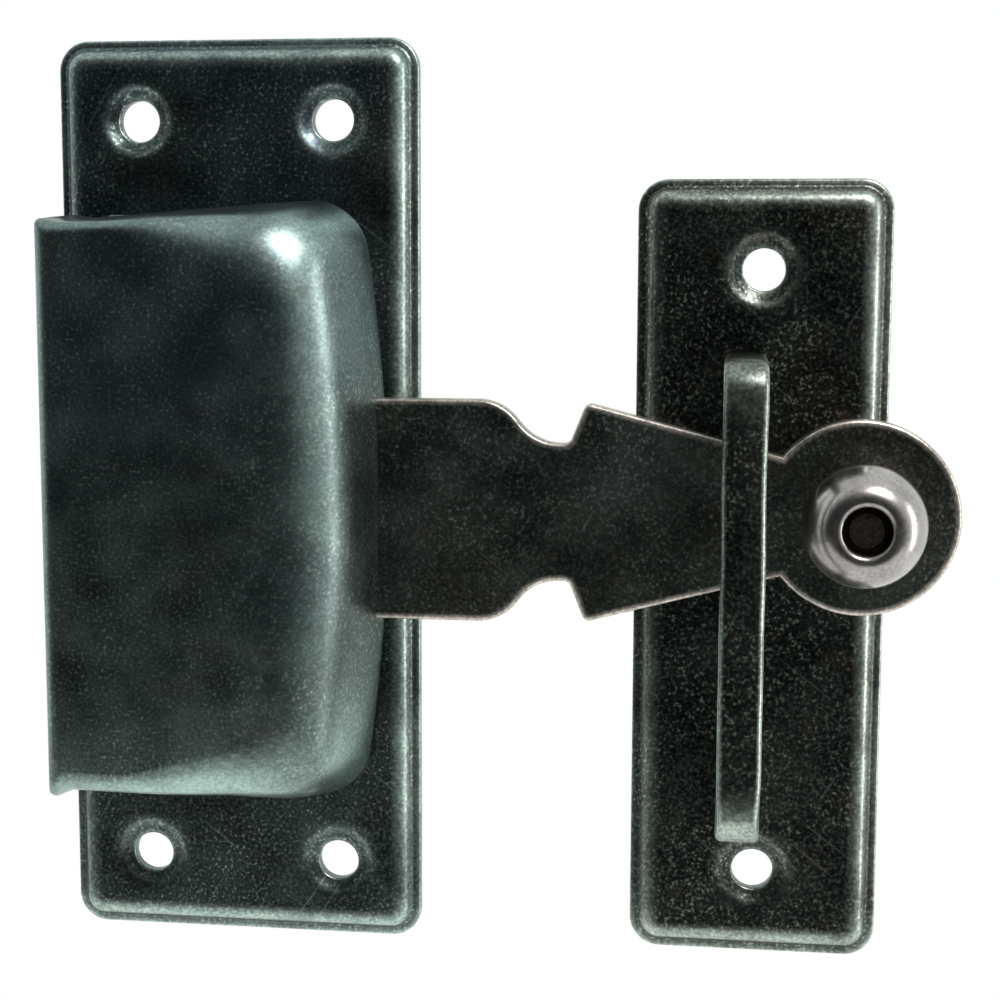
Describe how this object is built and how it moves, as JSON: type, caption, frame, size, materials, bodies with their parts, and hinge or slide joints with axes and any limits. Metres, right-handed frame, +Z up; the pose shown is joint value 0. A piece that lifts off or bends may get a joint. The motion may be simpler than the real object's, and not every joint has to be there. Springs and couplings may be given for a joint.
{
  "type": "toggle bolt latch",
  "caption": "Surface-mounted toggle bolt latch: a flat bolt with a knob slides and swings from a covered housing plate under a staple on a keeper plate.",
  "frame": {"origin": "centre of the housing plate's four screw holes, on the wall plane that both plates' backs lie in", "axes": "+X along the bolt from the housing to the keeper, +Z up, +Y into the wall or door, so the latch stands out towards -Y"},
  "size_m": [0.0953, 0.02, 0.097],
  "materials": {
    "housing_steel": "blackened pressed steel sheet, lacquered, edges rubbed bright",
    "keeper_steel": "blackened pressed steel sheet and strap, lacquered, edges rubbed bright",
    "bar_steel": "blackened steel strip with a brown cast",
    "knob_steel": "turned steel, blackened and rubbed back to grey",
    "rivet_steel": "upset steel rivet, dark",
    "plain_steel": "plain oiled steel",
    "spring_steel": "blued spring steel"
  },
  "bodies": {
    "mounting": {"housing_plate": "housing_steel", "housing_cover": "housing_steel", "pivot_stud": "rivet_steel", "wear_washer": "plain_steel", "retaining_washer": "plain_steel", "friction_spring": "spring_steel", "spring_rivets": "rivet_steel", "keeper_plate": "keeper_steel", "keeper_staple": "keeper_steel"},
    "swivel": {"slide_bush": "plain_steel"},
    "bolt": {"latch_bar": "bar_steel", "bar_knob": "knob_steel", "knob_rivet": "rivet_steel"}
  },
  "joints": [
    {"name": "bolt_swing", "type": "hinge", "parent": "mounting", "child": "swivel", "pos_m": [-0.013, -0.0042, -0.0006], "axis": [0, -1, 0], "range_deg": [-14, 5.2]},
    {"name": "bolt_slide", "type": "slide", "parent": "swivel", "child": "bolt", "axis": [-1, 0, 0], "range_m": [0, 0.0245]}
  ]
}
